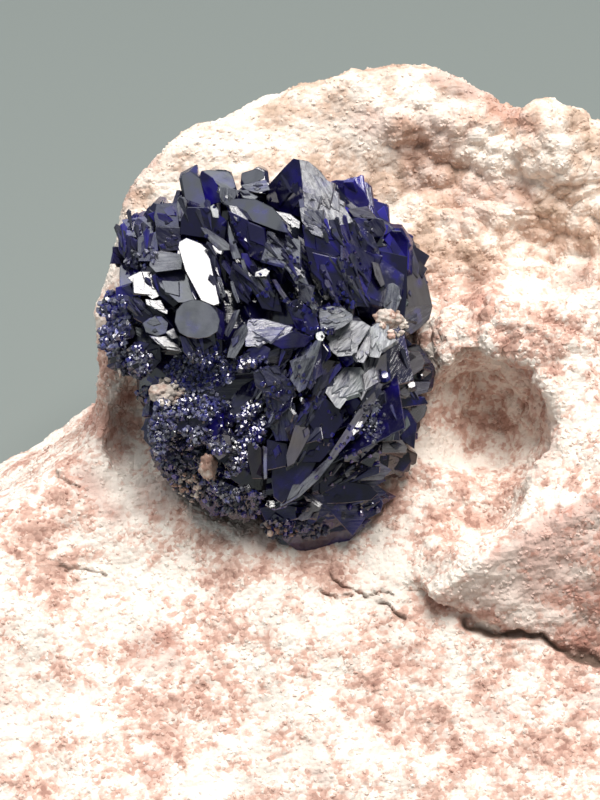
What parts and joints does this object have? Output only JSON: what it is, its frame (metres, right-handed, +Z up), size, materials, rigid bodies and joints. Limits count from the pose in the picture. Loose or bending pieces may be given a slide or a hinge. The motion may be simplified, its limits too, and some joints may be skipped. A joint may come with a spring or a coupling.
{
  "type": "azurite specimen",
  "caption": "Rosette of dark blue bladed azurite crystals seated in a hollow of a loose, flat-based piece of pink granular sandstone.",
  "frame": {"origin": "on the flat base of the sandstone, under the middle of the rosette", "axes": "+X to the right as seen from the show face, +Y from the show face to the back, +Z up from the flat base"},
  "size_m": [0.0583, 0.0533, 0.0312],
  "materials": {
    "sandstone": "rough broken sandstone, cream to pink with red-brown grains",
    "azurite": "glassy, dark azure blue, nearly opaque, flat bright crystal faces"
  },
  "bodies": {
    "root": {"sandstone_matrix": "sandstone", "azurite_rosette": "azurite", "sandstone_crumb_right": "sandstone", "sandstone_crumb_foot": "sandstone", "sandstone_crumb_left": "sandstone"}
  },
  "joints": []
}
